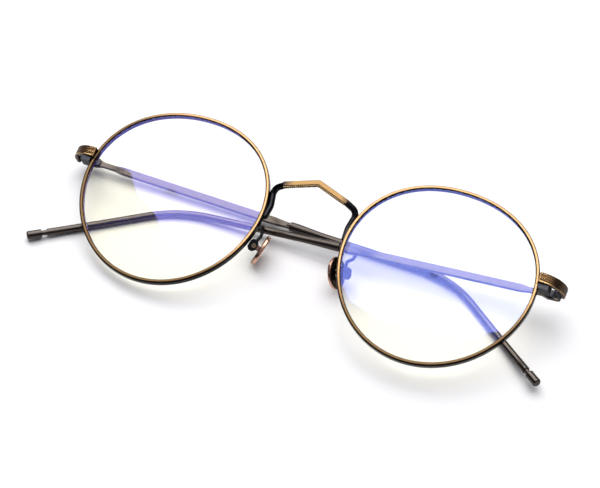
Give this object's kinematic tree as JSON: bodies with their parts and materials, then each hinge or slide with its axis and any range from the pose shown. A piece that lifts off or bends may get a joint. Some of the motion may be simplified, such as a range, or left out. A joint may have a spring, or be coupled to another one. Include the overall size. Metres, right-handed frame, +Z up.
{
  "type": "eyeglasses",
  "caption": "Round wire eyeglasses with clear lenses, a pointed saddle bridge and open metal nose pads, temples folded behind the front.",
  "frame": {"origin": "centre of the bounding box at the table it lies on, with the temples folded", "axes": "+X across the front towards the wearer's left, +Y towards the wearer's brow, +Z up from the table, roughly out of the front of the lenses"},
  "size_m": [0.1436, 0.0484, 0.0198],
  "materials": {
    "antique_bronze": "brushed antique",
    "gunmetal": "brushed dark",
    "dark_metal": "satin dark plating",
    "screw_metal": "satin",
    "rose_gold": "satin",
    "lens_resin": "polished, anti-reflection coated"
  },
  "bodies": {
    "front": {"bridge": "antique_bronze", "right_rim": "antique_bronze", "right_lens": "lens_resin", "right_end_piece": "antique_bronze", "right_closing_block_upper": "dark_metal", "right_closing_block_lower": "dark_metal", "right_closing_screw": "screw_metal", "right_hinge_front_leaf": "dark_metal", "right_hinge_screw": "screw_metal", "right_pad_arm": "dark_metal", "right_pad_box": "dark_metal", "right_pad_screw": "screw_metal", "left_rim": "antique_bronze", "left_lens": "lens_resin", "left_end_piece": "antique_bronze", "left_closing_block_upper": "dark_metal", "left_closing_block_lower": "dark_metal", "left_closing_screw": "screw_metal", "left_hinge_front_leaf": "dark_metal", "left_hinge_screw": "screw_metal", "left_pad_arm": "dark_metal", "left_pad_box": "dark_metal", "left_pad_screw": "screw_metal"},
    "right_temple": {"right_temple_bar": "gunmetal", "right_temple_sleeve": "gunmetal", "right_temple_end_cap": "gunmetal", "right_hinge_temple_leaf": "dark_metal"},
    "left_temple": {"left_temple_bar": "gunmetal", "left_temple_sleeve": "gunmetal", "left_temple_end_cap": "gunmetal", "left_hinge_temple_leaf": "dark_metal"},
    "right_pad": {"right_pad": "rose_gold"},
    "left_pad": {"left_pad": "rose_gold"}
  },
  "joints": [
    {"name": "right_temple_hinge", "type": "hinge", "parent": "front", "child": "right_temple", "pos_m": [-0.06734, 0.00868, 0.00422], "axis": [0.0025, 0.9824, 0.1868], "range_deg": [0, 90.34]},
    {"name": "left_temple_hinge", "type": "hinge", "parent": "front", "child": "left_temple", "pos_m": [0.06747, 0.00895, 0.00914], "axis": [0.0673, -0.9811, -0.1815], "range_deg": [0, 91.97]},
    {"name": "right_pad_rock", "type": "hinge", "parent": "front", "child": "right_pad", "pos_m": [-0.01279, -0.00286, 0.00467], "axis": [0.3004, -0.5407, 0.7858], "range_deg": [-12, 12]},
    {"name": "left_pad_rock", "type": "hinge", "parent": "front", "child": "left_pad", "pos_m": [0.01298, -0.00286, 0.00551], "axis": [0.3505, 0.5407, -0.7647], "range_deg": [-12, 12]}
  ]
}
